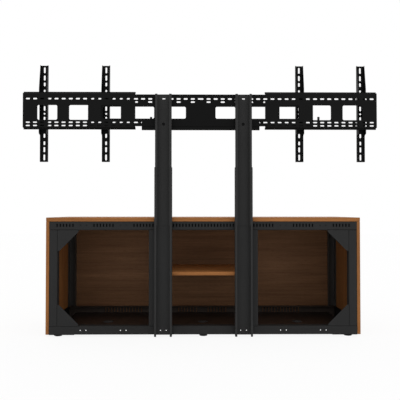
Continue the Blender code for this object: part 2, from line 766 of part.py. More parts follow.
def columns(lift):
    """Two lower columns whose folded edges go on down as short legs, with an upper one in each."""
    half = COLUMN_WIDTH / 2
    inset = COLUMN_STEEL + SLIDE_GAP
    through = COLUMN_STEEL * THROUGH
    for side, x in (("left", -RACK_SPACING / 2), ("right", RACK_SPACING / 2)):
        lower = lipped_channel(
            side + "_lower_column",
            x,
            half,
            LOWER_WEB,
            -COLUMN_DEPTH,
            COLUMN_LIP,
            COLUMN_FLOOR_GAP,
            LOWER_COLUMN_TOP,
            CREDENZA,
        )
        bolt_height = BASE_CLEARANCE + RAIL_HEIGHT / 2
        bolts = [(x + end * PAIR_SPACING / 2, LOWER_WEB, bolt_height) for end in (-1, 1)]
        punch(lower, bolts, (PAIR_HOLE, through, PAIR_HOLE), 1)
        cut_low = (x - COLUMN_WIDTH, -COLUMN_DEPTH + COLUMN_LEG_DEPTH, 0)
        cut_high = (x + COLUMN_WIDTH, COLUMN_DEPTH, BASE_CLEARANCE)
        foot_cut = box_mesh(lower.name + "_foot_cut", [(cut_low, cut_high)])
        combine(lower, "DIFFERENCE", foot_cut)
        upper = lipped_channel(
            side + "_upper_column",
            x,
            half - inset,
            UPPER_WEB,
            -COLUMN_DEPTH + inset,
            UPPER_LIP,
            LOWER_COLUMN_TOP - COLUMN_OVERLAP,
            CENTRE_TOP - COLUMN_TOP_INSET,
            lift,
        )
        slot = (COLUMN_SLOT_LENGTH, through, COLUMN_SLOT_HEIGHT)
        punch(upper, [(x, UPPER_WEB, UPPER_ROW)], slot, 1)
        hole = (COLUMN_HOLE, through, COLUMN_HOLE)
        punch(upper, [(x, UPPER_WEB, CENTRE_BOTTOM + COLUMN_HOLE_INSET)], hole, 1)


def mirrored(distances):
    return [CENTRE_MIDDLE + sign * distance for distance in distances for sign in (-1, 1)]


def steps_along(first, pitch, length, room):
    """The middles of as many openings of one length as the room holds."""
    count = int((room - first - length / 2) / pitch) + 1
    return [first + n * pitch for n in range(count)]


def windows(obj, middles, y, height):
    """Wide openings between the slot rows, each given by its middle."""
    centre = (CENTRE_BOTTOM + CENTRE_TOP) / 2 - WINDOW_DROP
    half = Vector((WINDOW_LENGTH, MOUNT_STEEL * THROUGH, height)) / 2
    places = [Vector((x, y, centre)) for x in middles]
    boxes = [(place - half, place + half) for place in places]
    bm = bmesh.new()
    bm.from_mesh(box_mesh(obj.name + "_windows", boxes))
    corners = [edge for edge in bm.edges if runs_along(edge, 1)]
    bmesh.ops.bevel(bm, geom=corners, offset=WINDOW_CORNER, segments=1, affect="EDGES")
    combine(obj, "DIFFERENCE", mesh_of(obj.name + "_windows", bm))


def centre_plate(lift):
    """The flat plate that the columns hold, with rows of slots and a row of windows."""
    half = CENTRE_LENGTH / 2
    middle = (CENTRE_REAR + CENTRE_FRONT) / 2
    low = (CENTRE_MIDDLE - half, CENTRE_REAR, CENTRE_BOTTOM)
    high = (CENTRE_MIDDLE + half, CENTRE_FRONT, CENTRE_TOP)
    plate = piece("centre_plate", box_mesh("centre_plate", [(low, high)]), lift, MOUNT_PAINT)
    first = CENTRE_WINDOW_START + WINDOW_LENGTH / 2
    steps = steps_along(first, WINDOW_PITCH, WINDOW_LENGTH, half)
    windows(plate, mirrored(steps), middle, CENTRE_WINDOW_HEIGHT)
    through = MOUNT_STEEL * THROUGH
    steps = steps_along(FIRST_SLOT, SLOT_PITCH, SLOT_LENGTH, half)
    bare = [step for step in steps[::2] if step < half - EXTENSION_OVERLAP]
    beyond_bar = [step for step in steps if step + SLOT_LENGTH / 2 > BAR_LENGTH / 2]
    places = [(x, middle, UPPER_ROW) for x in mirrored(steps)]
    places += [(x, middle, SECOND_ROW) for x in mirrored(bare)]
    punch(plate, places, (SLOT_LENGTH, through, SLOT_HEIGHT), 1)
    places = [(x, middle, LOWER_ROW) for x in mirrored(beyond_bar)]
    punch(plate, places, (SLOT_LENGTH, through, LOWER_SLOT_HEIGHT), 1)
    long_slot = (CENTRE_SLOT_LENGTH, through, SLOT_HEIGHT)
    punch(plate, [(CENTRE_MIDDLE, middle, UPPER_ROW)], long_slot, 1)


def stiffening_bar(lift):
    """A channel along the lower edge of the centre plate, on the display side."""
    web = CENTRE_FRONT + SEAM + MOUNT_STEEL / 2
    edge = CENTRE_FRONT + BAR_DEPTH
    bottom = CENTRE_BOTTOM - BAR_DROP
    low = bottom + MOUNT_STEEL / 2
    high = bottom + BAR_HEIGHT - MOUNT_STEEL / 2
    fold = [(edge, low), (web, low), (web, high), (edge, high)]
    start = CENTRE_MIDDLE - BAR_LENGTH / 2
    sheet("stiffening_bar", fold, 0, start, start + BAR_LENGTH, MOUNT_STEEL, lift, MOUNT_PAINT)


def extension(side, sign, lift):
    """A channel round the end of the centre plate, with lips that the brackets hook over."""
    outer = MOUNT_SHIFT + sign * EXTENSION_REACH
    inner = outer - sign * EXTENSION_LENGTH
    body = empty(side + "_extension_slide", lift, (inner, EXTENSION_WEB, UPPER_ROW))
    half_steel = MOUNT_STEEL / 2
    web = EXTENSION_WEB - half_steel
    lip = EXTENSION_FRONT - half_steel
    low = EXTENSION_BOTTOM + HOOK_LIP + half_steel
    high = EXTENSION_TOP - HOOK_LIP - half_steel
    fold = [
        (lip, EXTENSION_BOTTOM),
        (lip, low),
        (web, low),
        (web, high),
        (lip, high),
        (lip, EXTENSION_TOP),
    ]
    ends = (min(inner, outer), max(inner, outer))
    channel = sheet(side + "_extension", fold, 0, *ends, MOUNT_STEEL, body, MOUNT_PAINT)
    first = EXTENSION_WINDOW_START + WINDOW_LENGTH / 2
    steps = steps_along(first, WINDOW_PITCH, WINDOW_LENGTH, EXTENSION_LENGTH)
    windows(channel, [outer - sign * step for step in steps], web, EXTENSION_WINDOW_HEIGHT)
    through = MOUNT_STEEL * THROUGH
    # The last slot of each row is open at the channel's inner end
    room = EXTENSION_LENGTH + SLOT_LENGTH / 2
    steps = steps_along(EXTENSION_FIRST_SLOT, SLOT_PITCH, SLOT_LENGTH, room)
    along_rail = [outer - sign * step for step in steps]
    places = [(x, web, UPPER_ROW) for x in along_rail]
    punch(channel, places, (SLOT_LENGTH, through, SLOT_HEIGHT), 1)
    places = [(x, web, row) for row in (LOWER_ROW, LOWEST_ROW) for x in along_rail]
    punch(channel, places, (SLOT_LENGTH, through, LOWER_SLOT_HEIGHT), 1)
    return body, outer


def bracket_outline():
    """The side of a bracket: it tapers to its ends and is cut away round the channel's lips."""
    face = BRACKET_FACE
    rear = BRACKET_REAR
    end = face - BRACKET_END_DEPTH
    behind_lip = EXTENSION_FRONT - MOUNT_STEEL - SLIDE_GAP
    before_lip = EXTENSION_FRONT + SLIDE_GAP
    over_lip = EXTENSION_TOP + SLIDE_GAP
    under_lip = EXTENSION_BOTTOM - SLIDE_GAP
    hook_tip = EXTENSION_TOP - HOOK_LIP + BEND_RADIUS
    foot = under_lip - BRACKET_FOOT
    return (
        (face, BRACKET_BOTTOM),
        (face, BRACKET_TOP),
        (end, BRACKET_TOP),
        (rear, over_lip + BRACKET_SHOULDER),
        (rear, hook_tip),
        (behind_lip, hook_tip),
        (behind_lip, over_lip),
        (before_lip, over_lip),
        (before_lip, under_lip),
        (rear, under_lip),
        (rear, foot),
        (end, foot - BRACKET_FOOT_TAPER),
        (end, BRACKET_BOTTOM),
    )


def bracket(name, x, slide):
    """A channel open to the rear, with slots for the display's screws down its face."""
    half = BRACKET_WIDTH / 2
    inside = half - BRACKET_STEEL
    body = empty(name + "_slide", slide, (x, BRACKET_FACE, UPPER_ROW))
    obj = piece(name, outline_mesh(name, bracket_outline(), x - half, x + half), body, MOUNT_PAINT)
    back = BRACKET_FACE - BRACKET_STEEL
    rear = BRACKET_REAR - BRACKET_HOOK
    below = BRACKET_BOTTOM - BRACKET_WIDTH
    above = BRACKET_TOP + BRACKET_WIDTH
    hollow = [((x - inside, rear, below), (x + inside, back, above))]
    combine(obj, "DIFFERENCE", box_mesh(name + "_hollow", hollow))
    web = BRACKET_FACE - BRACKET_STEEL / 2
    through = BRACKET_STEEL * THROUGH
    hole = (BRACKET_SLOT_WIDTH, through, BRACKET_SLOT_WIDTH)
    punch(obj, [(x, web, BRACKET_MIDDLE)], hole, 1)
    for inset, length in BRACKET_SLOTS:
        if BRACKET_LENGTH / 2 - inset > length:
            places = [(x, web, BRACKET_BOTTOM + inset), (x, web, BRACKET_TOP - inset)]
            punch(obj, places, (BRACKET_SLOT_WIDTH, through, length), 1)


def display_mount():
    lift = empty("lift", CREDENZA, (MOUNT_SHIFT, UPPER_WEB, UPPER_ROW))
    columns(lift)
    centre_plate(lift)
    stiffening_bar(lift)
    for side, sign, inset in (("left", -1, LEFT_BRACKET_INSET), ("right", 1, RIGHT_BRACKET_INSET)):
        slide, outer = extension(side, sign, lift)
        bracket(side + "_outer_bracket", outer - sign * inset, slide)
        bracket(side + "_inner_bracket", outer - sign * (inset + BRACKET_SPACING), slide)


wooden_case()
cross_rails()
posts()
side_rails()
gussets()
floor_pans()
middle_shelf()
levelling_feet()
doors()
display_mount()
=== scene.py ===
from math import cos, pi, radians, sin

import bmesh
import bpy
from mathutils import Matrix, Vector


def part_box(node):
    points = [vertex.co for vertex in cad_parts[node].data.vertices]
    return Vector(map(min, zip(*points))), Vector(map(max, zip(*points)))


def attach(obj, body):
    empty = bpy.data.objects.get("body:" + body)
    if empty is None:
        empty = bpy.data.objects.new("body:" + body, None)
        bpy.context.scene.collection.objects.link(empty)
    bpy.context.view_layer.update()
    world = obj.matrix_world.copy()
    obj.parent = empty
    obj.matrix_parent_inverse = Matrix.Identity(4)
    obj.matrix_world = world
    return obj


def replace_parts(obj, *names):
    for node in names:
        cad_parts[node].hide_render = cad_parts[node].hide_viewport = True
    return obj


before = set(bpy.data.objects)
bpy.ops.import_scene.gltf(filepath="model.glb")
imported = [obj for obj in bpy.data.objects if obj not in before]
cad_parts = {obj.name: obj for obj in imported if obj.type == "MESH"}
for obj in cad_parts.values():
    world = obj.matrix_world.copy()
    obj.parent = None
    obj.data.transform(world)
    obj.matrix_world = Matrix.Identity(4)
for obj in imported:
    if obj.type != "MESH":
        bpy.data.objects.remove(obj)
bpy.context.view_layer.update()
print("frame loaded,", len(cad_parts), "nodes")


# Node helpers

def addNode(tree, kind, **settings):
    node = tree.nodes.new(kind)
    for name, value in settings.items():
        setattr(node, name, value)
    return node


def setInputs(node, values):
    for name, value in values.items():
        node.inputs[name].default_value = value


def feed(tree, socket, value):
    # a plain value is set on the socket, an output is linked to it
    if isinstance(value, (int, float, tuple)):
        socket.default_value = value
    else:
        tree.links.new(value, socket)


def newGroup(name, inputs, outputs):
    group = bpy.data.node_groups.new(name, "ShaderNodeTree")
    for label, kind, value in inputs:
        socket = group.interface.new_socket(label, in_out="INPUT", socket_type=kind)
        socket.default_value = value
    for label, kind in outputs:
        group.interface.new_socket(label, in_out="OUTPUT", socket_type=kind)
    return group, addNode(group, "NodeGroupInput"), addNode(group, "NodeGroupOutput")


def useGroup(tree, group, values):
    node = addNode(tree, "ShaderNodeGroup", node_tree=group)
    setInputs(node, values)
    return node


def noiseAt(tree, vector, scale, detail, roughness=0.5):
    noise = addNode(tree, "ShaderNodeTexNoise")
    setInputs(noise, {"Detail": detail, "Roughness": roughness})
    feed(tree, noise.inputs["Scale"], scale)
    tree.links.new(vector, noise.inputs["Vector"])
    return noise.outputs["Fac"]


def remap(tree, value, source, target):
    node = addNode(tree, "ShaderNodeMapRange")
    setInputs(node, {"From Min": source[0], "From Max": source[1], "To Min": target[0], "To Max": target[1]})
    tree.links.new(value, node.inputs["Value"])
    return node.outputs["Result"]


def maths(tree, operation, first, second):
    node = addNode(tree, "ShaderNodeMath", operation=operation)
    feed(tree, node.inputs[0], first)
    feed(tree, node.inputs[1], second)
    return node.outputs["Value"]


def weighed(tree, parts):
    # the sum of several values, each times its own weight
    total = 0.0
    for value, weight in parts:
        total = maths(tree, "ADD", maths(tree, "MULTIPLY", value, weight), total)
    return total


def stretched(tree, vector, factors):
    node = addNode(tree, "ShaderNodeVectorMath", operation="MULTIPLY")
    node.inputs[1].default_value = factors
    tree.links.new(vector, node.inputs[0])
    return node.outputs["Vector"]


def scaledColour(tree, colour, factor):
    node = addNode(tree, "ShaderNodeVectorMath", operation="SCALE")
    tree.links.new(colour, node.inputs[0])
    tree.links.new(factor, node.inputs["Scale"])
    return node.outputs["Vector"]


def mixColours(tree, blend, factor, first, second):
    node = addNode(tree, "ShaderNodeMix", data_type="RGBA", blend_type=blend)
    for number, value in ((0, factor), (6, first), (7, second)):  # the sockets of the colour kind
        feed(tree, node.inputs[number], value)
    return node.outputs[2]


# Shared effects

skinOutputs = [("Color", "NodeSocketColor"), ("Roughness", "NodeSocketFloat"), ("Height", "NodeSocketFloat")]
wearAndHighlightMask = {
    "samples": 6,
    "turn": (0.99, 0.72),  # flat normal times rounded normal, from a plain face to a full edge
    "detail": 3.0,
    "roughness": 0.6,
    "noise": (0.38, 0.66),
    "patches": (0.15, 1.0),
}


def wornAndHighlitEdgesGroup():
    # the rounded normal of a bevel leaves the flat one near an edge, and that shows where the edges get a
    # lighter colour, partly rubbed-through finish and partly a painted highlight
    group, start, end = newGroup(
        "wornAndHighlitEdges",
        [("Radius", "NodeSocketFloat", 0.002), ("Patches", "NodeSocketFloat", 60.0)],
        [("Edge", "NodeSocketFloat"), ("Normal", "NodeSocketVector")],
    )
    link = group.links.new
    bevel = addNode(group, "ShaderNodeBevel", samples=wearAndHighlightMask["samples"])
    link(start.outputs["Radius"], bevel.inputs["Radius"])
    flat = addNode(group, "ShaderNodeNewGeometry")
    turn = addNode(group, "ShaderNodeVectorMath", operation="DOT_PRODUCT")
    link(bevel.outputs["Normal"], turn.inputs[0])
    link(flat.outputs["Normal"], turn.inputs[1])
    edge = remap(group, turn.outputs["Value"], wearAndHighlightMask["turn"], (0.0, 1.0))
    place = addNode(group, "ShaderNodeTexCoord").outputs["Object"]
    noise = noiseAt(group, place, start.outputs["Patches"], wearAndHighlightMask["detail"], wearAndHighlightMask["roughness"])
    patches = remap(group, noise, wearAndHighlightMask["noise"], wearAndHighlightMask["patches"])
    link(maths(group, "MULTIPLY", edge, patches), end.inputs["Edge"])
    link(bevel.outputs["Normal"], end.inputs["Normal"])
    return group


figure = {
    "bands": {"Scale": 3.2, "Distortion": 7.0, "Detail": 3.0, "Detail Scale": 1.4},
    "bandStretch": (0.22, 2.2, 2.2),
    "noises": {  # stretch along and across the grain, then detail and roughness
        "broad": ((0.9, 13.0, 13.0), 4.0, 0.5),
        "streak": ((1.6, 48.0, 48.0), 3.0, 0.6),
        "fibre": ((3.0, 160.0, 160.0), 3.0, 0.65),
        "pores": ((26.0, 900.0, 900.0), 1.0, 0.5),
    },
    "weights": {"bands": 0.1, "broad": 0.3, "streak": 0.4, "fibre": 0.3},
    "tone": (0.36, 0.74),
    "pores": (0.6, 0.7),
    "poreShare": 0.55,
    "roughness": (0.56, 0.44),
    "fibreHeight": 0.35,
}


def woodFigureGroup():
    # grain runs along X of the vector that comes in
    group, start, end = newGroup(
        "woodFigure",
        [
            ("Vector", "NodeSocketVector", (0.0, 0.0, 0.0)),
            ("Pale", "NodeSocketColor", (0.35, 0.15, 0.055, 1.0)),
            ("Deep", "NodeSocketColor", (0.2, 0.08, 0.028, 1.0)),
            ("Pore", "NodeSocketColor", (0.07, 0.027, 0.011, 1.0)),
        ],
        skinOutputs,
    )
    link = group.links.new
    vector = start.outputs["Vector"]
    bands = addNode(group, "ShaderNodeTexWave", bands_direction="Y")
    setInputs(bands, figure["bands"])
    link(stretched(group, vector, figure["bandStretch"]), bands.inputs["Vector"])
    layers = {"bands": bands.outputs["Fac"]}
    for label, (stretch, detail, roughness) in figure["noises"].items():
        layers[label] = noiseAt(group, stretched(group, vector, stretch), 1.0, detail, roughness)
    tone = weighed(group, [(layers[label], weight) for label, weight in figure["weights"].items()])
    tone = remap(group, tone, figure["tone"], (0.0, 1.0))
    colour = mixColours(group, "MIX", tone, start.outputs["Deep"], start.outputs["Pale"])
    poreMask = remap(group, layers["pores"], figure["pores"], (0.0, figure["poreShare"]))
    link(mixColours(group, "MIX", poreMask, colour, start.outputs["Pore"]), end.inputs["Color"])
    link(remap(group, tone, (0.0, 1.0), figure["roughness"]), end.inputs["Roughness"])
    fibreHeight = maths(group, "MULTIPLY", layers["fibre"], figure["fibreHeight"])
    link(maths(group, "SUBTRACT", fibreHeight, poreMask), end.inputs["Height"])
    return group


coatSkin = {
    "peelDetail": 2.0,
    "peelRoughness": 0.45,
    "markScale": 7.0,
    "markDetail": 4.0,
    "markRoughness": 0.6,
    "speckleScale": 1900.0,
    "noise": (0.3, 0.7),
    "marks": (0.9, 1.06),
    "speckle": (-0.08, 0.08),
    "sheen": (-0.07, 0.07),
}


def coatGroup():
    # baked powder or moulded skin: fine peel, a speckle and broad handling marks
    group, start, end = newGroup(
        "sprayedSkin",
        [
            ("Tint", "NodeSocketColor", (0.03, 0.03, 0.03, 1.0)),
            ("Grain", "NodeSocketFloat", 700.0),
            ("Sheen", "NodeSocketFloat", 0.5),
        ],
        skinOutputs,
    )
    link = group.links.new
    place = addNode(group, "ShaderNodeTexCoord").outputs["Object"]
    peel = noiseAt(group, place, start.outputs["Grain"], coatSkin["peelDetail"], coatSkin["peelRoughness"])
    marks = noiseAt(group, place, coatSkin["markScale"], coatSkin["markDetail"], coatSkin["markRoughness"])
    speckle = noiseAt(group, place, coatSkin["speckleScale"], 1.0)
    broadLight = remap(group, marks, coatSkin["noise"], coatSkin["marks"])
    light = maths(group, "ADD", broadLight, remap(group, speckle, coatSkin["noise"], coatSkin["speckle"]))
    link(scaledColour(group, start.outputs["Tint"], light), end.inputs["Color"])
    spread = remap(group, marks, coatSkin["noise"], coatSkin["sheen"])
    link(maths(group, "ADD", start.outputs["Sheen"], spread), end.inputs["Roughness"])
    link(peel, end.inputs["Height"])
    return group


spangle = {"light": (0.82, 1.08), "roughness": (0.28, 0.44), "reliefScale": 1200.0, "reliefDetail": 2.0}


def spangleGroup():
    # zinc plate: small crystals of unlike brightness
    group, start, end = newGroup(
        "zincSpangle",
        [("Tint", "NodeSocketColor", (0.6, 0.6, 0.6, 1.0)), ("Grain", "NodeSocketFloat", 160.0)],
        skinOutputs,
    )
    link = group.links.new
    place = addNode(group, "ShaderNodeTexCoord").outputs["Object"]
    cells = addNode(group, "ShaderNodeTexVoronoi")
    link(place, cells.inputs["Vector"])
    link(start.outputs["Grain"], cells.inputs["Scale"])
    cell = addNode(group, "ShaderNodeSeparateColor")
    link(cells.outputs["Color"], cell.inputs["Color"])
    light = remap(group, cell.outputs["Red"], (0.0, 1.0), spangle["light"])
    link(scaledColour(group, start.outputs["Tint"], light), end.inputs["Color"])
    link(remap(group, cell.outputs["Green"], (0.0, 1.0), spangle["roughness"]), end.inputs["Roughness"])
    link(noiseAt(group, place, spangle["reliefScale"], spangle["reliefDetail"]), end.inputs["Height"])
    return group


wornAndHighlitEdges = wornAndHighlitEdgesGroup()
woodFigure = woodFigureGroup()
sprayedSkin = coatGroup()
zincSpangle = spangleGroup()
print("shared effects built")


# Materials

def newMaterial(name):
    material = bpy.data.materials.new(name)
    material.use_nodes = True
    return material, material.node_tree, material.node_tree.nodes["Principled BSDF"]


def finishSurface(tree, shader, skin, settings, colour):
    # a lighter colour on the edges, partly rubbed-through finish and partly a painted highlight, and the
    # skin's relief on the rounded normal
    link = tree.links.new
    wearAndHighlight = {"Radius": settings["edgeRadius"], "Patches": settings["edgePatches"]}
    edges = useGroup(tree, wornAndHighlitEdges, wearAndHighlight)
    amount = maths(tree, "MULTIPLY", edges.outputs["Edge"], settings["edgeWearAndHighlight"])
    link(mixColours(tree, "MIX", amount, colour, (*settings["wornAndHighlit"], 1.0)), shader.inputs["Base Color"])
    link(skin.outputs["Roughness"], shader.inputs["Roughness"])
    bump = addNode(tree, "ShaderNodeBump")
    setInputs(bump, {"Strength": settings["bump"], "Distance": settings["depth"]})
    link(skin.outputs["Height"], bump.inputs["Height"])
    link(edges.outputs["Normal"], bump.inputs["Normal"])
    link(bump.outputs["Normal"], shader.inputs["Normal"])
    shader.inputs["Specular IOR Level"].default_value = settings["specular"]
    shader.inputs["Metallic"].default_value = settings["metallic"]


board = {
    "pale": (0.45, 0.189, 0.062),
    "deep": (0.215, 0.085, 0.027),
    "pore": (0.12, 0.044, 0.014),
    "wornAndHighlit": (0.46, 0.22, 0.08),
    "paintedInnerShade": (0.53, 0.64, 0.95),  # painted shade: how much darker a door's inner face is painted
    "paintedInnerShadeDepth": 0.0006,
    "levelBelow": 0.5,  # a face whose normal rises less is an edge of a level board
    "edgeRadius": 0.0016,
    "edgePatches": 35.0,
    "edgeWearAndHighlight": 0.3,
    "bump": 0.18,
    "depth": 0.0004,
    "specular": 0.08,
    "metallic": 0.0,
}


def boardMaterial(name, turn, offset, tone, paintedEdgeShade, innerShadeEnd=None):
    # the edge factor is painted shade on a level board's edges, set against the painted light on its faces,
    # and the last argument is the depth up to which a door's inner face gets painted shade
    material, tree, shader = newMaterial(name)
    place = addNode(tree, "ShaderNodeTexCoord").outputs["Object"]
    grain = addNode(tree, "ShaderNodeMapping")
    setInputs(grain, {"Rotation": turn, "Location": offset})
    tree.links.new(place, grain.inputs["Vector"])
    skin = useGroup(tree, woodFigure, {})
    for label in ("pale", "deep", "pore"):
        shade = [tone * level for level in board[label]]
        skin.inputs[label.capitalize()].default_value = (*shade, 1.0)
    tree.links.new(grain.outputs["Vector"], skin.inputs["Vector"])
    colour = skin.outputs["Color"]
    # painted shade on a level board's edges, set against the painted light that its tone puts on its faces
    if paintedEdgeShade != 1.0:
        facing = addNode(tree, "ShaderNodeSeparateXYZ")
        tree.links.new(addNode(tree, "ShaderNodeTexCoord").outputs["Normal"], facing.inputs["Vector"])
        rise = maths(tree, "ABSOLUTE", facing.outputs["Z"], 0.0)
        upright = maths(tree, "LESS_THAN", rise, board["levelBelow"])
        colour = mixColours(tree, "MULTIPLY", upright, colour, (paintedEdgeShade, paintedEdgeShade, paintedEdgeShade, 1.0))
    # painted shade on a door's inner face, which looks into the cabinet's shade
    if innerShadeEnd is not None:
        depth = addNode(tree, "ShaderNodeSeparateXYZ")
        tree.links.new(place, depth.inputs["Vector"])
        innerShadeMask = maths(tree, "LESS_THAN", depth.outputs["Y"], innerShadeEnd)
        colour = mixColours(tree, "MULTIPLY", innerShadeMask, colour, (*board["paintedInnerShade"], 1.0))
    finishSurface(tree, shader, skin, board, colour)
    return material


def skinMaterial(name, group, values, settings):
    material, tree, shader = newMaterial(name)
    skin = useGroup(tree, group, values)
    finishSurface(tree, shader, skin, settings, skin.outputs["Color"])
    return material


def coatMaterial(name, tint, grain, sheen, settings):
    values = {"Tint": (*tint, 1.0), "Grain": grain, "Sheen": sheen}
    return skinMaterial(name, sprayedSkin, values, settings)


charcoal = {
    "wornAndHighlit": (0.09, 0.09, 0.09),
    "edgeRadius": 0.0012,
    "edgePatches": 45.0,
    "edgeWearAndHighlight": 0.35,
    "bump": 0.25,
    "depth": 0.0003,
    "specular": 0.12,
    "metallic": 0.0,
}
blackCoat = dict(charcoal, wornAndHighlit=(0.045, 0.045, 0.045), specular=0.08)
glossCoat = dict(blackCoat, bump=0.08, specular=0.5)
moulded = dict(charcoal, wornAndHighlit=(0.035, 0.035, 0.035), edgeWearAndHighlight=0.25, bump=0.35, specular=0.2)
ventShadeSettings = dict(charcoal, wornAndHighlit=(0.004, 0.004, 0.004), bump=0.9, depth=0.001, specular=0.01)
plated = dict(charcoal, wornAndHighlit=(0.72, 0.72, 0.71), edgeWearAndHighlight=0.4, bump=0.1, specular=0.5, metallic=0.85)

frameCoat = coatMaterial("charcoalCoat", (0.0225, 0.0225, 0.0225), 620.0, 0.55, charcoal)
columnCoat = coatMaterial("columnCoat", (0.03, 0.03, 0.03), 620.0, 0.55, charcoal)
# painted light: the front frame, which stands in the cabinet's shade, gets a lighter, slightly warmer copy
# of the frame's coat
frontCoatPaintedLight = coatMaterial("frontCoatPaintedLight", (0.056, 0.052, 0.048), 620.0, 0.55, charcoal)
# painted light: the front bottom rail gets a lighter, browner copy of the frame's coat, for the
# wood-coloured light in its shade
sillCoatPaintedLight = coatMaterial("sillCoatPaintedLight", (0.043, 0.0325, 0.0265), 620.0, 0.55, charcoal)
# painted reflection: the floor pans' dark coat is tinted brown by the wood around them
panCoatPaintedReflection = coatMaterial("panCoatPaintedReflection", (0.019, 0.012, 0.01), 620.0, 0.36, glossCoat)
plateCoat = coatMaterial("plateCoat", (0.0038, 0.0038, 0.0038), 700.0, 0.5, blackCoat)
# the mount's black coat, also painted shade on the frame's side rails and the rails' end plates
mountCoatAndShade = coatMaterial("blackCoat", (0.0056, 0.0056, 0.0056), 700.0, 0.5, blackCoat)
blackPlastic = coatMaterial("mouldedPlastic", (0.01, 0.01, 0.01), 1100.0, 0.48, moulded)
greyPlastic = coatMaterial("greyPlastic", (0.04, 0.04, 0.04), 1100.0, 0.45, moulded)
# painted shade: the near-black panels behind the vents
ventShadeCoat = coatMaterial("ventShadeCoat", (0.0016, 0.0016, 0.0016), 900.0, 0.85, ventShadeSettings)
zinc = skinMaterial("zincPlate", zincSpangle, {"Tint": (0.55, 0.55, 0.54, 1.0), "Grain": 170.0}, plated)

grainTurns = {"along": (0.0, 0.0, 0.0), "upright": (0.0, radians(90.0), 0.0)}
boards = {  # the grain's turn and offset, the board's tone and the tone of its edges; the side panels' tones are painted shade, and the shelf's tone is painted light on its faces, its edge tone painted shade on its edges
    "top_panel": ("along", (0.0, 0.0, 0.0), 0.99, 1.0),
    # painted shade: both side panels are darker than the top, the right one most
    "left_side_panel": ("upright", (0.7, 3.1, 0.4), 0.89, 1.0),
    "right_side_panel": ("upright", (1.9, 5.3, 0.8), 0.79, 1.0),
    # painted light on the shelf's faces, and painted shade on its edges
    "middle_shelf": ("along", (2.6, 7.7, 1.3), 1.3, 0.71),
    "left_door": ("along", (4.1, 11.2, 2.5), 1.0, 1.0),
    "middle_door": ("along", (4.1, 11.2, 2.5), 0.98, 1.0),
    "right_door": ("along", (4.1, 11.2, 2.5), 1.0, 1.0),
}


def finishFor(node):
    if node in boards:
        turn, offset, tone, paintedEdgeShade = boards[node]
        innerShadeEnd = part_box(node)[0].y + board["paintedInnerShadeDepth"] if node.endswith("door") else None
        return boardMaterial(node + "Board", grainTurns[turn], offset, tone, paintedEdgeShade, innerShadeEnd)
    # the side rails get the mount's black coat as painted shade; the extensions have it for real
    if node.endswith(("extension", "side_rail")):
        return mountCoatAndShade
    if node.endswith(("centre_plate", "stiffening_bar", "bracket")):
        return plateCoat
    # painted light on the front bottom rail
    if node == "front_bottom_rail":
        return sillCoatPaintedLight
    # painted light on the front frame
    if node.startswith("front_") and node != "front_top_rail":
        return frontCoatPaintedLight
    if node.endswith("column"):
        return columnCoat
    if node.endswith("pan"):
        return panCoatPaintedReflection
    if node.endswith("pivot"):
        return zinc
    return frameCoat


for name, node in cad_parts.items():
    node.data.materials.clear()
    node.data.materials.append(finishFor(name))
print("finishes given to", len(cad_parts), "nodes")


# Lofted hardware

ringPoints = 24
cornerSteps = 5
sharpAngle = radians(35.0)
screwTurn = 0.7  # from one screw's recess to the next, in radians


def roundRing(radius, height, points=ringPoints):
    turns = [2 * pi * n / points for n in range(points)]
    return [Vector((radius * cos(turn), radius * sin(turn), height)) for turn in turns]


def hexRing(acrossFlats, height, points=ringPoints):
    ring = []
    for n in range(points):
        turn = 2 * pi * n / points
        radius = acrossFlats / 2 / cos(turn % (pi / 3) - pi / 6)
        ring.append(Vector((radius * cos(turn), radius * sin(turn), height)))
    return ring


def crossRing(arm, core, height):
    # four arms, each three points wide
    spacing = ringPoints // 4
    ring = []
    for n, point in enumerate(roundRing(1.0, 0.0)):
        radius = arm if n % spacing in (spacing - 1, 0, 1) else core
        ring.append(Vector((radius * point.x, radius * point.y, height)))
    return ring


def slabRing(width, depth, corner, height):
    ring = []
    for quarter, (alongX, alongY) in enumerate(((1, 1), (-1, 1), (-1, -1), (1, -1))):
        centre = Vector((alongX * (width / 2 - corner), alongY * (depth / 2 - corner), height))
        for step in range(cornerSteps + 1):
            turn = pi / 2 * (quarter + step / cornerSteps)
            ring.append(centre + Vector((corner * cos(turn), corner * sin(turn), 0.0)))
    return ring


def loft(bm, place, rings, looped=False):
    # a skin over the rings, closed at both ends or joined end to end
    rows = [[bm.verts.new(place @ point) for point in ring] for ring in rings]
    pairs = list(zip(rows, rows[1:]))
    if looped:
        pairs.append((rows[-1], rows[0]))
    else:
        bm.faces.new(rows[0][::-1])
        bm.faces.new(rows[-1])
    for lower, upper in pairs:
        for n in range(len(lower)):
            after = (n + 1) % len(lower)
            bm.faces.new((lower[n], lower[after], upper[after], upper[n]))


def placeAt(point, outward, turn=0.0):
    facing = Vector(outward).to_track_quat("Z", "Y").to_matrix().to_4x4()
    return Matrix.Translation(point) @ facing @ Matrix.Rotation(turn, 4, "Z")


def finishPiece(name, bm, material, body):
    bmesh.ops.recalc_face_normals(bm, faces=bm.faces)
    mesh = bpy.data.meshes.new(name)
    bm.to_mesh(mesh)
    bm.free()
    mesh.shade_smooth()
    mesh.set_sharp_from_angle(angle=sharpAngle)
    mesh.materials.append(material)
    piece = bpy.data.objects.new(name, mesh)
    bpy.context.scene.collection.objects.link(piece)
    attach(piece, body)
    return piece


def addSlab(bm, place, size, corner, ease):
    width, depth, height = size
    rings = [
        slabRing(width - 2 * ease, depth - 2 * ease, corner, 0.0),
        slabRing(width, depth, corner, ease),
        slabRing(width, depth, corner, height - ease),
        slabRing(width - 2 * ease, depth - 2 * ease, corner, height),
    ]
    loft(bm, place, rings)


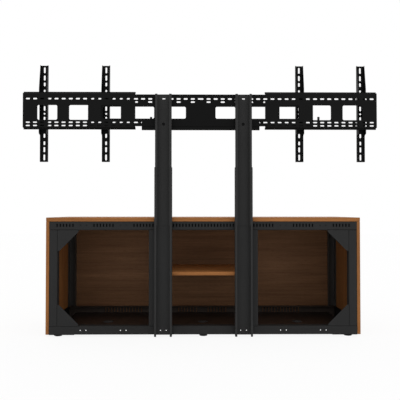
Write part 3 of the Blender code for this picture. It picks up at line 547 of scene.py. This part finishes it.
panHead = {
    "profile": ((1.0, 0.0), (1.0, 0.3), (0.92, 0.68), (0.7, 1.0)),  # shares of the radius and the height
    "mouth": (0.6, 0.24),  # arm and core of the recess, shares of the radius
    "floor": (0.42, 0.17),
}


def addScrewHead(bm, place, settings):
    # a pan head with a cross recess
    radius, height = settings["radius"], settings["height"]
    rings = [roundRing(radius * wide, height * high) for wide, high in panHead["profile"]]
    arm, core = panHead["mouth"]
    rings.append(crossRing(radius * arm, radius * core, height))
    arm, core = panHead["floor"]
    rings.append(crossRing(radius * arm, radius * core, height - settings["recess"]))
    loft(bm, place, rings)


hexHead = {"flangeTop": 0.14, "neck": (0.6, 0.3), "flatsLow": 0.34, "flatsHigh": 0.88, "crown": 0.88}


def addBoltHead(bm, place, settings):
    # a flanged hexagon head
    flange, flats, height = settings["flange"], settings["flats"], settings["height"]
    neckWide, neckHigh = hexHead["neck"]
    rings = [
        roundRing(flange, 0.0),
        roundRing(flange, height * hexHead["flangeTop"]),
        roundRing(flats * neckWide, height * neckHigh),
        hexRing(flats, height * hexHead["flatsLow"]),
        hexRing(flats, height * hexHead["flatsHigh"]),
        hexRing(flats * hexHead["crown"], height),
    ]
    loft(bm, place, rings)


def addNut(bm, place, settings):
    bore, flats, height, ease = settings["bore"], settings["flats"], settings["height"], settings["ease"]
    rings = [
        roundRing(bore + ease, 0.0),
        hexRing(flats - 2 * ease, 0.0),
        hexRing(flats, ease),
        hexRing(flats, height - ease),
        hexRing(flats - 2 * ease, height),
        roundRing(bore + ease, height),
        roundRing(bore, height - ease),
        roundRing(bore, ease),
    ]
    loft(bm, place, rings, looped=True)


def screwSet(name, places, settings, material, body):
    bm = bmesh.new()
    for number, (point, outward) in enumerate(places):
        addScrewHead(bm, placeAt(point, outward, screwTurn * number), settings)
    return finishPiece(name, bm, material, body)


def between(low, high, share):
    return low + (high - low) * share


# Screws that hold the frame, the boards and the shelf together

frameScrew = {"radius": 0.0045, "height": 0.0022, "recess": 0.0014, "wall": 0.002}


def frameScrews(name, places):
    screwSet(name + "_screws", places, frameScrew, blackPlastic, "cabinet")


sideRail = {"screws": (0.1, 0.5, 0.9), "rises": {"top": 0.5, "bottom": 0.75}}


def sideRailScrews(side, inward):
    for level, rise in sideRail["rises"].items():
        name = f"{side}_{level}_side_rail"
        low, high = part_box(name)
        face = low.x + frameScrew["wall"] if inward > 0 else high.x - frameScrew["wall"]
        height = between(low.z, high.z, rise)
        spots = [Vector((face, between(low.y, high.y, share), height)) for share in sideRail["screws"]]
        frameScrews(name, [(spot, (inward, 0, 0)) for spot in spots])


gusset = {"screws": (0.3, 0.7), "depth": 0.55}


def gussetScrews(side, inward):
    for level, up in (("bottom", 1), ("top", -1)):
        name = f"{side}_{level}_gusset"
        low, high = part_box(name)
        corner = Vector((low.x if inward > 0 else high.x, 0.0, low.z if up > 0 else high.z))
        depth = between(low.y, high.y, gusset["depth"])
        wall = frameScrew["wall"]
        places = []
        for share in gusset["screws"]:
            run = (high.x - low.x) * share
            onPost = Vector((corner.x + inward * wall, depth, corner.z + up * run))
            onRail = Vector((corner.x + inward * run, depth, corner.z + up * wall))
            places += [(onPost, (inward, 0, 0)), (onRail, (0, 0, up))]
        frameScrews(name, places)


shelfRail = {"screws": (0.12, 0.5, 0.84), "postRise": 0.4}


def shelfRailScrews(side, inward):
    # up into the shelf, and sideways into the two posts
    name = side + "_shelf_rail"
    low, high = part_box(name)
    wall = frameScrew["wall"]
    under = high.z - wall
    middle = between(low.x, high.x, 0.5)
    spots = [Vector((middle, between(low.y, high.y, share), under)) for share in shelfRail["screws"]]
    places = [(spot, (0, 0, -1)) for spot in spots]
    face = low.x + wall if inward > 0 else high.x - wall
    height = between(low.z, high.z, shelfRail["postRise"])
    for post in ("rear", "front"):
        near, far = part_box(f"{post}_inner_{side}_post")
        places.append((Vector((face, between(near.y, far.y, 0.5), height)), (inward, 0, 0)))
    frameScrews(name, places)


topRail = {"screws": (0.06, 0.25, 0.42, 0.58, 0.75, 0.94)}


def topScrews(rail):
    # up through the rail's upper flange into the top panel
    low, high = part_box(rail)
    depth, under = between(low.y, high.y, 0.5), high.z - frameScrew["wall"]
    spots = [Vector((between(low.x, high.x, share), depth, under)) for share in topRail["screws"]]
    frameScrews(rail + "_top", [(spot, (0, 0, -1)) for spot in spots])


for side, inward in (("left", 1), ("right", -1)):
    sideRailScrews(side, inward)
    gussetScrews(side, inward)
    shelfRailScrews(side, inward)
topScrews("rear_top_rail")
topScrews("front_top_rail")

columnBolt = {
    "flange": 0.0085,
    "flats": 0.011,
    "height": 0.006,
    "spacing": 0.033,
    "wall": 0.002,
    "rise": 0.56,
}


def columnBolts(side):
    # from inside the cabinet, through the upper rail's hole pair into the column
    low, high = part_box(side + "_lower_column")
    railLow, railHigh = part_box("rear_top_rail")
    height = between(railLow.z, railHigh.z, columnBolt["rise"])
    bm = bmesh.new()
    for end in (-0.5, 0.5):
        x = between(low.x, high.x, 0.5) + end * columnBolt["spacing"]
        spot = Vector((x, railLow.y + columnBolt["wall"], height))
        addBoltHead(bm, placeAt(spot, (0, 1, 0)), columnBolt)
    finishPiece(side + "_column_bolts", bm, zinc, "cabinet")


columnBolts("left")
columnBolts("right")


# Fittings that close the frame: cross members and end plates, and black panels of painted shade behind the
# vents

crossMember = {
    "wall": 0.002,
    "fold": 0.0012,
    "foldMiddle": 0.3,  # where the fold's middle point lies, a share of the fold
    "room": 0.0008,
    "endRoom": 0.003,
    "drop": 0.028,
    "screws": (0.06, 0.94),
}


def bayCrossMember(side):
    # a channel turned upside down that carries the ends of two floor pans, under the inner posts
    postLow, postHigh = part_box(f"rear_inner_{side}_post")
    railLow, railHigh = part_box("rear_bottom_rail")[0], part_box("front_bottom_rail")[1]
    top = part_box("middle_floor_pan")[1].z
    left, right = postLow.x + crossMember["room"], postHigh.x - crossMember["room"]
    wall, fold = crossMember["wall"], crossMember["fold"]
    bend = fold * crossMember["foldMiddle"]
    bottom = top - crossMember["drop"]
    half = [(0.0, bottom), (0.0, top - fold), (bend, top - bend), (fold, top)]
    inner = [(wall, top - wall), (wall, bottom)]
    width = right - left
    profile = half + [(width - x, z) for x, z in half[::-1]]
    profile += [(width - x, z) for x, z in inner[::-1]] + inner
    ends = [railLow.y + crossMember["endRoom"], railHigh.y - crossMember["endRoom"]]
    rings = [[Vector((left + x, y, z)) for x, z in profile] for y in ends]
    bm = bmesh.new()
    loft(bm, Matrix.Identity(4), rings)
    for share in crossMember["screws"]:
        spot = Vector(((left + right) / 2, between(*ends, share), top))
        addScrewHead(bm, placeAt(spot, (0, 0, 1)), frameScrew)
    # the pans' coat, with its brown tint of painted reflection
    finishPiece(side + "_bay_cross_member", bm, panCoatPaintedReflection, "cabinet")


bayCrossMember("left")
bayCrossMember("right")

endPlate = {
    "wall": 0.002,
    "room": 0.0006,
    "flange": 0.004,
    "corner": 0.003,
    "ease": 0.0004,
    "screws": (0.28, 0.72),
}


def railEndPlates(rail, webSide):
    # a plate that closes each end of a rail and screws to the side panel
    low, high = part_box(rail)
    room, flange, wall = endPlate["room"], endPlate["flange"], endPlate["wall"]
    nearY = low.y + (flange if webSide < 0 else room)
    farY = high.y - (room if webSide < 0 else flange)
    lowZ, highZ = low.z + flange + room, high.z - wall - room
    size = (farY - nearY, highZ - lowZ, wall)
    bm = bmesh.new()
    for end, inward in ((low.x, 1), (high.x, -1)):
        seat = end + inward * room
        middle = Vector((seat, (nearY + farY) / 2, (lowZ + highZ) / 2))
        addSlab(bm, placeAt(middle, (inward, 0, 0)), size, endPlate["corner"], endPlate["ease"])
        for share in endPlate["screws"]:
            spot = Vector((seat + inward * wall, between(nearY, farY, share), middle.z))
            addScrewHead(bm, placeAt(spot, (inward, 0, 0)), frameScrew)
    # the end plates get the mount's black coat as painted shade
    finishPiece(rail + "_end_plates", bm, mountCoatAndShade, "cabinet")


for level in ("top", "bottom"):
    railEndPlates(f"rear_{level}_rail", -1)
    railEndPlates(f"front_{level}_rail", 1)

ventShadeSheet = {
    "ventTall": 0.0185,
    "wall": 0.002,
    "room": 0.0002,
    "thick": 0.004,
    "past": 0.006,
    "over": 0.004,
    "corner": 0.002,
    "ease": 0.0008,
    "groupGap": 0.03,  # vents closer together than this share one black panel
    "flangeRoom": 0.005,
    "sameHeight": 0.0001,
}


def ventGroups(rail):
    # first and last edge of each group of vents, and the height where the vents end
    low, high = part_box(rail)
    room = ventShadeSheet["flangeRoom"]
    spots = [vertex.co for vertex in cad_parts[rail].data.vertices]
    inside = [spot for spot in spots if low.z + room < spot.z < high.z - room]
    top = max(spot.z for spot in inside)
    edges = sorted(spot.x for spot in inside if top - spot.z < ventShadeSheet["sameHeight"])
    groups = [[edges[0], edges[0]]]
    for x in edges:
        if x - groups[-1][1] > ventShadeSheet["groupGap"]:
            groups.append([x, x])
        groups[-1][1] = x
    return groups, top


def ventShadeSheets(rail):
    # near-black panels pressed behind each group of vents: painted shade seen through them
    groups, top = ventGroups(rail)
    tall, past, over = ventShadeSheet["ventTall"], ventShadeSheet["past"], ventShadeSheet["over"]
    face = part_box(rail)[0].y + ventShadeSheet["wall"] + ventShadeSheet["room"]
    bm = bmesh.new()
    for first, last in groups:
        size = (last - first + 2 * past, tall + 2 * over, ventShadeSheet["thick"])
        spot = Vector(((first + last) / 2, face, top - tall / 2))
        addSlab(bm, placeAt(spot, (0, 1, 0)), size, ventShadeSheet["corner"], ventShadeSheet["ease"])
    finishPiece(rail + "_shade_sheets", bm, ventShadeCoat, "cabinet")


ventShadeSheets("rear_top_rail")

pivotScrew = {"radius": 0.0034, "height": 0.0012, "recess": 0.0008, "wall": 0.003, "rises": (0.008, 0.02)}


def pivotScrews(name, freeEnd, back):
    # back leads from the pivot's free end towards its pin
    low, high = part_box(name)
    middle = between(low.x, high.x, 0.5)
    face = low.y + pivotScrew["wall"]
    spots = [Vector((middle, face, freeEnd + back * rise)) for rise in pivotScrew["rises"]]
    screwSet(name + "_screws", [(spot, (0, 1, 0)) for spot in spots], pivotScrew, zinc, "cabinet")


for door in ("left_door", "middle_door", "right_door"):
    bottomPivot, topPivot = door + "_bottom_pivot", door + "_top_pivot"
    pivotScrews(bottomPivot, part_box(bottomPivot)[1].z, -1)
    pivotScrews(topPivot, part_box(topPivot)[0].z, 1)
print("screws, bolts and fittings in place")


# Levelling feet with a hexagon collar, a threaded stud and a lock nut on the rail

foot = {
    "points": 48,
    "profile": ((0.86, 0.0), (0.94, 0.0007), (1.0, 0.0028), (0.97, 0.0036), (0.6, 0.0058)),
    "neck": 0.48,  # the profile's first numbers and this one are shares of the pad's radius
    "flats": 0.0172,
    "collarLow": 0.0066,
    "collarHigh": 0.0092,
    "stud": 0.005,
    "root": 0.0044,
    "pitch": 0.0015,
}
lockNut = {"bore": 0.0053, "flats": 0.016, "height": 0.007, "ease": 0.0008, "seat": 0.0003, "wall": 0.002}


def levellingFoot(name):
    low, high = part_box(name)
    radius, tall = (high.x - low.x) / 2, high.z - low.z
    points = foot["points"]
    axis = Vector((between(low.x, high.x, 0.5), between(low.y, high.y, 0.5), low.z))
    rings = [roundRing(radius * wide, height, points) for wide, height in foot["profile"]]
    rings.append(roundRing(radius * foot["neck"], foot["collarLow"], points))
    rings.append(hexRing(foot["flats"], foot["collarLow"], points))
    rings.append(hexRing(foot["flats"], foot["collarHigh"], points))
    thread = foot["collarHigh"]
    while thread + foot["pitch"] < tall:
        rings.append(roundRing(foot["root"], thread, points))
        rings.append(roundRing(foot["stud"], thread + foot["pitch"] / 2, points))
        thread += foot["pitch"]
    rings.append(roundRing(foot["root"], tall, points))
    bm = bmesh.new()
    loft(bm, placeAt(axis, (0, 0, 1)), rings)
    piece = finishPiece(name + "_turned", bm, blackPlastic, name)
    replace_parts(piece, name)
    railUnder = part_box("left_side_panel")[0].z  # level with the bottom rails' flange, over the foot plates
    bm = bmesh.new()
    seat = railUnder + lockNut["wall"] + lockNut["seat"]
    addNut(bm, placeAt(Vector((axis.x, axis.y, seat)), (0, 0, 1)), lockNut)
    finishPiece(name + "_lock_nut", bm, zinc, "cabinet")


for row in ("rear", "front"):
    for column in ("left", "middle", "right"):
        levellingFoot(f"{row}_{column}_foot")


# Grooved caps of the cable plugs

cablePlug = {
    "points": 64,
    "boss": 0.848,  # this and the other shares are of the rim's radius
    "bossTip": 0.97,  # of the boss
    "bossEase": 0.001,
    "rimTall": 0.003,
    "rim": 0.0011,
    "crown": 0.0026,
    "shoulder": 0.97,
    "face": 0.92,
    "grooveOut": 0.74,
    "grooveIn": 0.68,
    "grooveSlope": 0.015,
    "groove": 0.001,
}


def plugCap(name):
    low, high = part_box(name)
    radius = (high.x - low.x) / 2
    boss, tall = radius * cablePlug["boss"], high.z - low.z
    seat = tall - cablePlug["rimTall"]
    dip = tall - cablePlug["groove"]
    outer, inner, slope = cablePlug["grooveOut"], cablePlug["grooveIn"], cablePlug["grooveSlope"]
    outline = [
        (boss * cablePlug["bossTip"], 0.0),
        (boss, cablePlug["bossEase"]),
        (boss, seat),
        (radius, seat),
        (radius, seat + cablePlug["rim"]),
        (radius * cablePlug["shoulder"], seat + cablePlug["crown"]),
        (radius * cablePlug["face"], tall),
        (radius * outer, tall),
        (radius * (outer - slope), dip),
        (radius * (inner + slope), dip),
        (radius * inner, tall),
    ]
    rings = [roundRing(wide, height, cablePlug["points"]) for wide, height in outline]
    axis = Vector((between(low.x, high.x, 0.5), between(low.y, high.y, 0.5), low.z))
    bm = bmesh.new()
    loft(bm, placeAt(axis, (0, 0, 1)), rings)
    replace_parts(finishPiece(name + "_cap", bm, greyPlastic, "cabinet"), name)


for bay in ("left", "middle", "right"):
    plugCap(bay + "_cable_plug")
print("feet and cable plugs turned")


# Magnetic push latches under the front rail, and the strike plates that they hold

doorLatch = {
    "size": (0.046, 0.04, 0.0145),
    "corner": 0.003,
    "ease": 0.0012,
    "railRoom": 0.0003,
    "reach": 0.0035,  # from the door's face to the body
    "fromEdge": 0.068,
}
plunger = {
    "radius": 0.0045,
    "root": -0.004,
    "tip": 0.0022,
    "profile": ((1.0, 0.7), (0.86, 1.0), (0.5, 1.0), (0.42, 0.8)),  # shares of the radius and the tip
}
strike = {"size": (0.04, 0.014, 0.0012), "corner": 0.003, "ease": 0.0004, "sink": 0.0001, "screws": 0.012}
strikeScrew = {"radius": 0.0027, "height": 0.0006, "recess": 0.0004}


def addPlunger(bm, place):
    radius, tip = plunger["radius"], plunger["tip"]
    rings = [roundRing(radius, plunger["root"])]
    rings += [roundRing(radius * wide, tip * high) for wide, high in plunger["profile"]]
    loft(bm, place, rings)


def addStrike(bm, spot):
    addSlab(bm, placeAt(spot, (0, -1, 0)), strike["size"], strike["corner"], strike["ease"])
    for end in (-1, 1):
        screwAt = spot + Vector((end * strike["screws"], -strike["size"][2], 0.0))
        addScrewHead(bm, placeAt(screwAt, (0, -1, 0)), strikeScrew)


def doorLatchSet(door, freeEnd):
    low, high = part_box(door)
    x = high.x - doorLatch["fromEdge"] if freeEnd > 0 else low.x + doorLatch["fromEdge"]
    size = doorLatch["size"]
    front = low.y - doorLatch["reach"]
    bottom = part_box("front_top_rail")[0].z - doorLatch["railRoom"] - size[2]
    middle = bottom + size[2] / 2
    bm = bmesh.new()
    bodyAt = placeAt(Vector((x, front - size[1] / 2, bottom)), (0, 0, 1))
    addSlab(bm, bodyAt, size, doorLatch["corner"], doorLatch["ease"])
    finishPiece(door + "_latch", bm, blackPlastic, "cabinet")
    bm = bmesh.new()
    addPlunger(bm, placeAt(Vector((x, front, middle)), (0, 1, 0)))
    finishPiece(door + "_latch_plunger", bm, zinc, "cabinet")
    bm = bmesh.new()
    addStrike(bm, Vector((x, low.y + strike["sink"], middle)))
    finishPiece(door + "_strike", bm, zinc, door)


doorLatchSet("left_door", 1)
doorLatchSet("middle_door", 1)
doorLatchSet("right_door", -1)
print("door latches in place")


# Cable clips pressed onto the lower edge of two of the mount's windows

cableClip = {"width": 0.0125, "depth": 0.01, "corner": 0.0022, "ease": 0.0016}
plateClip = {"from": (0.36775, 0.0, 0.0442), "height": 0.011}  # from the low corner of the clip's carrier
extensionClip = {"from": (0.3115, -0.0075, 0.0534), "height": 0.0193}


def addCableClip(name, body, carrier, settings):
    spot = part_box(carrier)[0] + Vector(settings["from"])
    spot.y += cableClip["depth"] / 2
    size = (cableClip["width"], cableClip["depth"], settings["height"])
    bm = bmesh.new()
    addSlab(bm, placeAt(spot, (0, 0, 1)), size, cableClip["corner"], cableClip["ease"])
    finishPiece(name, bm, blackPlastic, body)


addCableClip("plate_cable_clip", "lift", "centre_plate", plateClip)
addCableClip("right_extension_cable_clip", "right_extension", "right_extension", extensionClip)
print("cable clips in place")


# Studio

studio = {
    "floorSize": 30.0,
    "floorColour": (0.93, 0.93, 0.93),
    "floorRoughness": 0.9,
    "floorWhite": 0.9,
    "domeRise": (0.0, 0.7),
    "domeLight": (0.89, 1.04),  # at the horizon and from the rise's end up
    "domeSides": (0.85, 1.15),
    "cameraAt": (-0.03132, -3.50844, 0.72344),
    "cameraTilt": 91.21566,
    "cameraTurn": -0.52709,
    "lens": 50.0,
    "sensor": 36.0,
}


def seenDirectly(tree):
    # camera, mirror and glass rays
    path = addNode(tree, "ShaderNodeLightPath")
    seen = maths(tree, "MAXIMUM", path.outputs["Is Camera Ray"], path.outputs["Is Glossy Ray"])
    return maths(tree, "MAXIMUM", seen, path.outputs["Is Transmission Ray"])


def buildFloor():
    half = studio["floorSize"] / 2
    mesh = bpy.data.meshes.new("floor")
    corners = [(-half, -half, 0), (half, -half, 0), (half, half, 0), (-half, half, 0)]
    mesh.from_pydata(corners, [], [(0, 1, 2, 3)])
    floor = bpy.data.objects.new("floor", mesh)
    bpy.context.scene.collection.objects.link(floor)
    material, tree, shader = newMaterial("paleFloor")
    shader.inputs["Base Color"].default_value = (*studio["floorColour"], 1.0)
    shader.inputs["Roughness"].default_value = studio["floorRoughness"]
    shader.inputs["Specular IOR Level"].default_value = 0.0
    glow = addNode(tree, "ShaderNodeEmission")
    mix = addNode(tree, "ShaderNodeMixShader")
    share = maths(tree, "MULTIPLY", seenDirectly(tree), studio["floorWhite"])
    tree.links.new(share, mix.inputs[0])
    tree.links.new(shader.outputs["BSDF"], mix.inputs[1])
    tree.links.new(glow.outputs["Emission"], mix.inputs[2])
    tree.links.new(mix.outputs["Shader"], tree.nodes["Material Output"].inputs["Surface"])
    mesh.materials.append(material)


def buildSky():
    world = bpy.data.worlds.new("studio")
    world.use_nodes = True
    bpy.context.scene.world = world
    tree = world.node_tree
    dome = tree.nodes["Background"]
    ray = addNode(tree, "ShaderNodeTexCoord")
    part = addNode(tree, "ShaderNodeSeparateXYZ")
    tree.links.new(ray.outputs["Generated"], part.inputs["Vector"])
    rise = remap(tree, part.outputs["Z"], studio["domeRise"], studio["domeLight"])
    sides = remap(tree, part.outputs["X"], (-1.0, 1.0), studio["domeSides"])
    tree.links.new(maths(tree, "MULTIPLY", rise, sides), dome.inputs["Strength"])
    dome.inputs["Color"].default_value = (1.0, 1.0, 1.0, 1.0)
    white = addNode(tree, "ShaderNodeBackground")
    white.inputs["Color"].default_value = (1.0, 1.0, 1.0, 1.0)
    mix = addNode(tree, "ShaderNodeMixShader")
    tree.links.new(seenDirectly(tree), mix.inputs[0])
    tree.links.new(dome.outputs["Background"], mix.inputs[1])
    tree.links.new(white.outputs["Background"], mix.inputs[2])
    tree.links.new(mix.outputs["Shader"], tree.nodes["World Output"].inputs["Surface"])


def buildCamera():
    data = bpy.data.cameras.new("camera")
    data.lens = studio["lens"]
    data.sensor_width = studio["sensor"]
    camera = bpy.data.objects.new("camera", data)
    camera.location = studio["cameraAt"]
    camera.rotation_euler = (radians(studio["cameraTilt"]), 0.0, radians(studio["cameraTurn"]))
    bpy.context.scene.collection.objects.link(camera)
    bpy.context.scene.camera = camera


buildFloor()
buildSky()
buildCamera()
bpy.context.scene.view_settings.view_transform = "Standard"
print("studio ready")
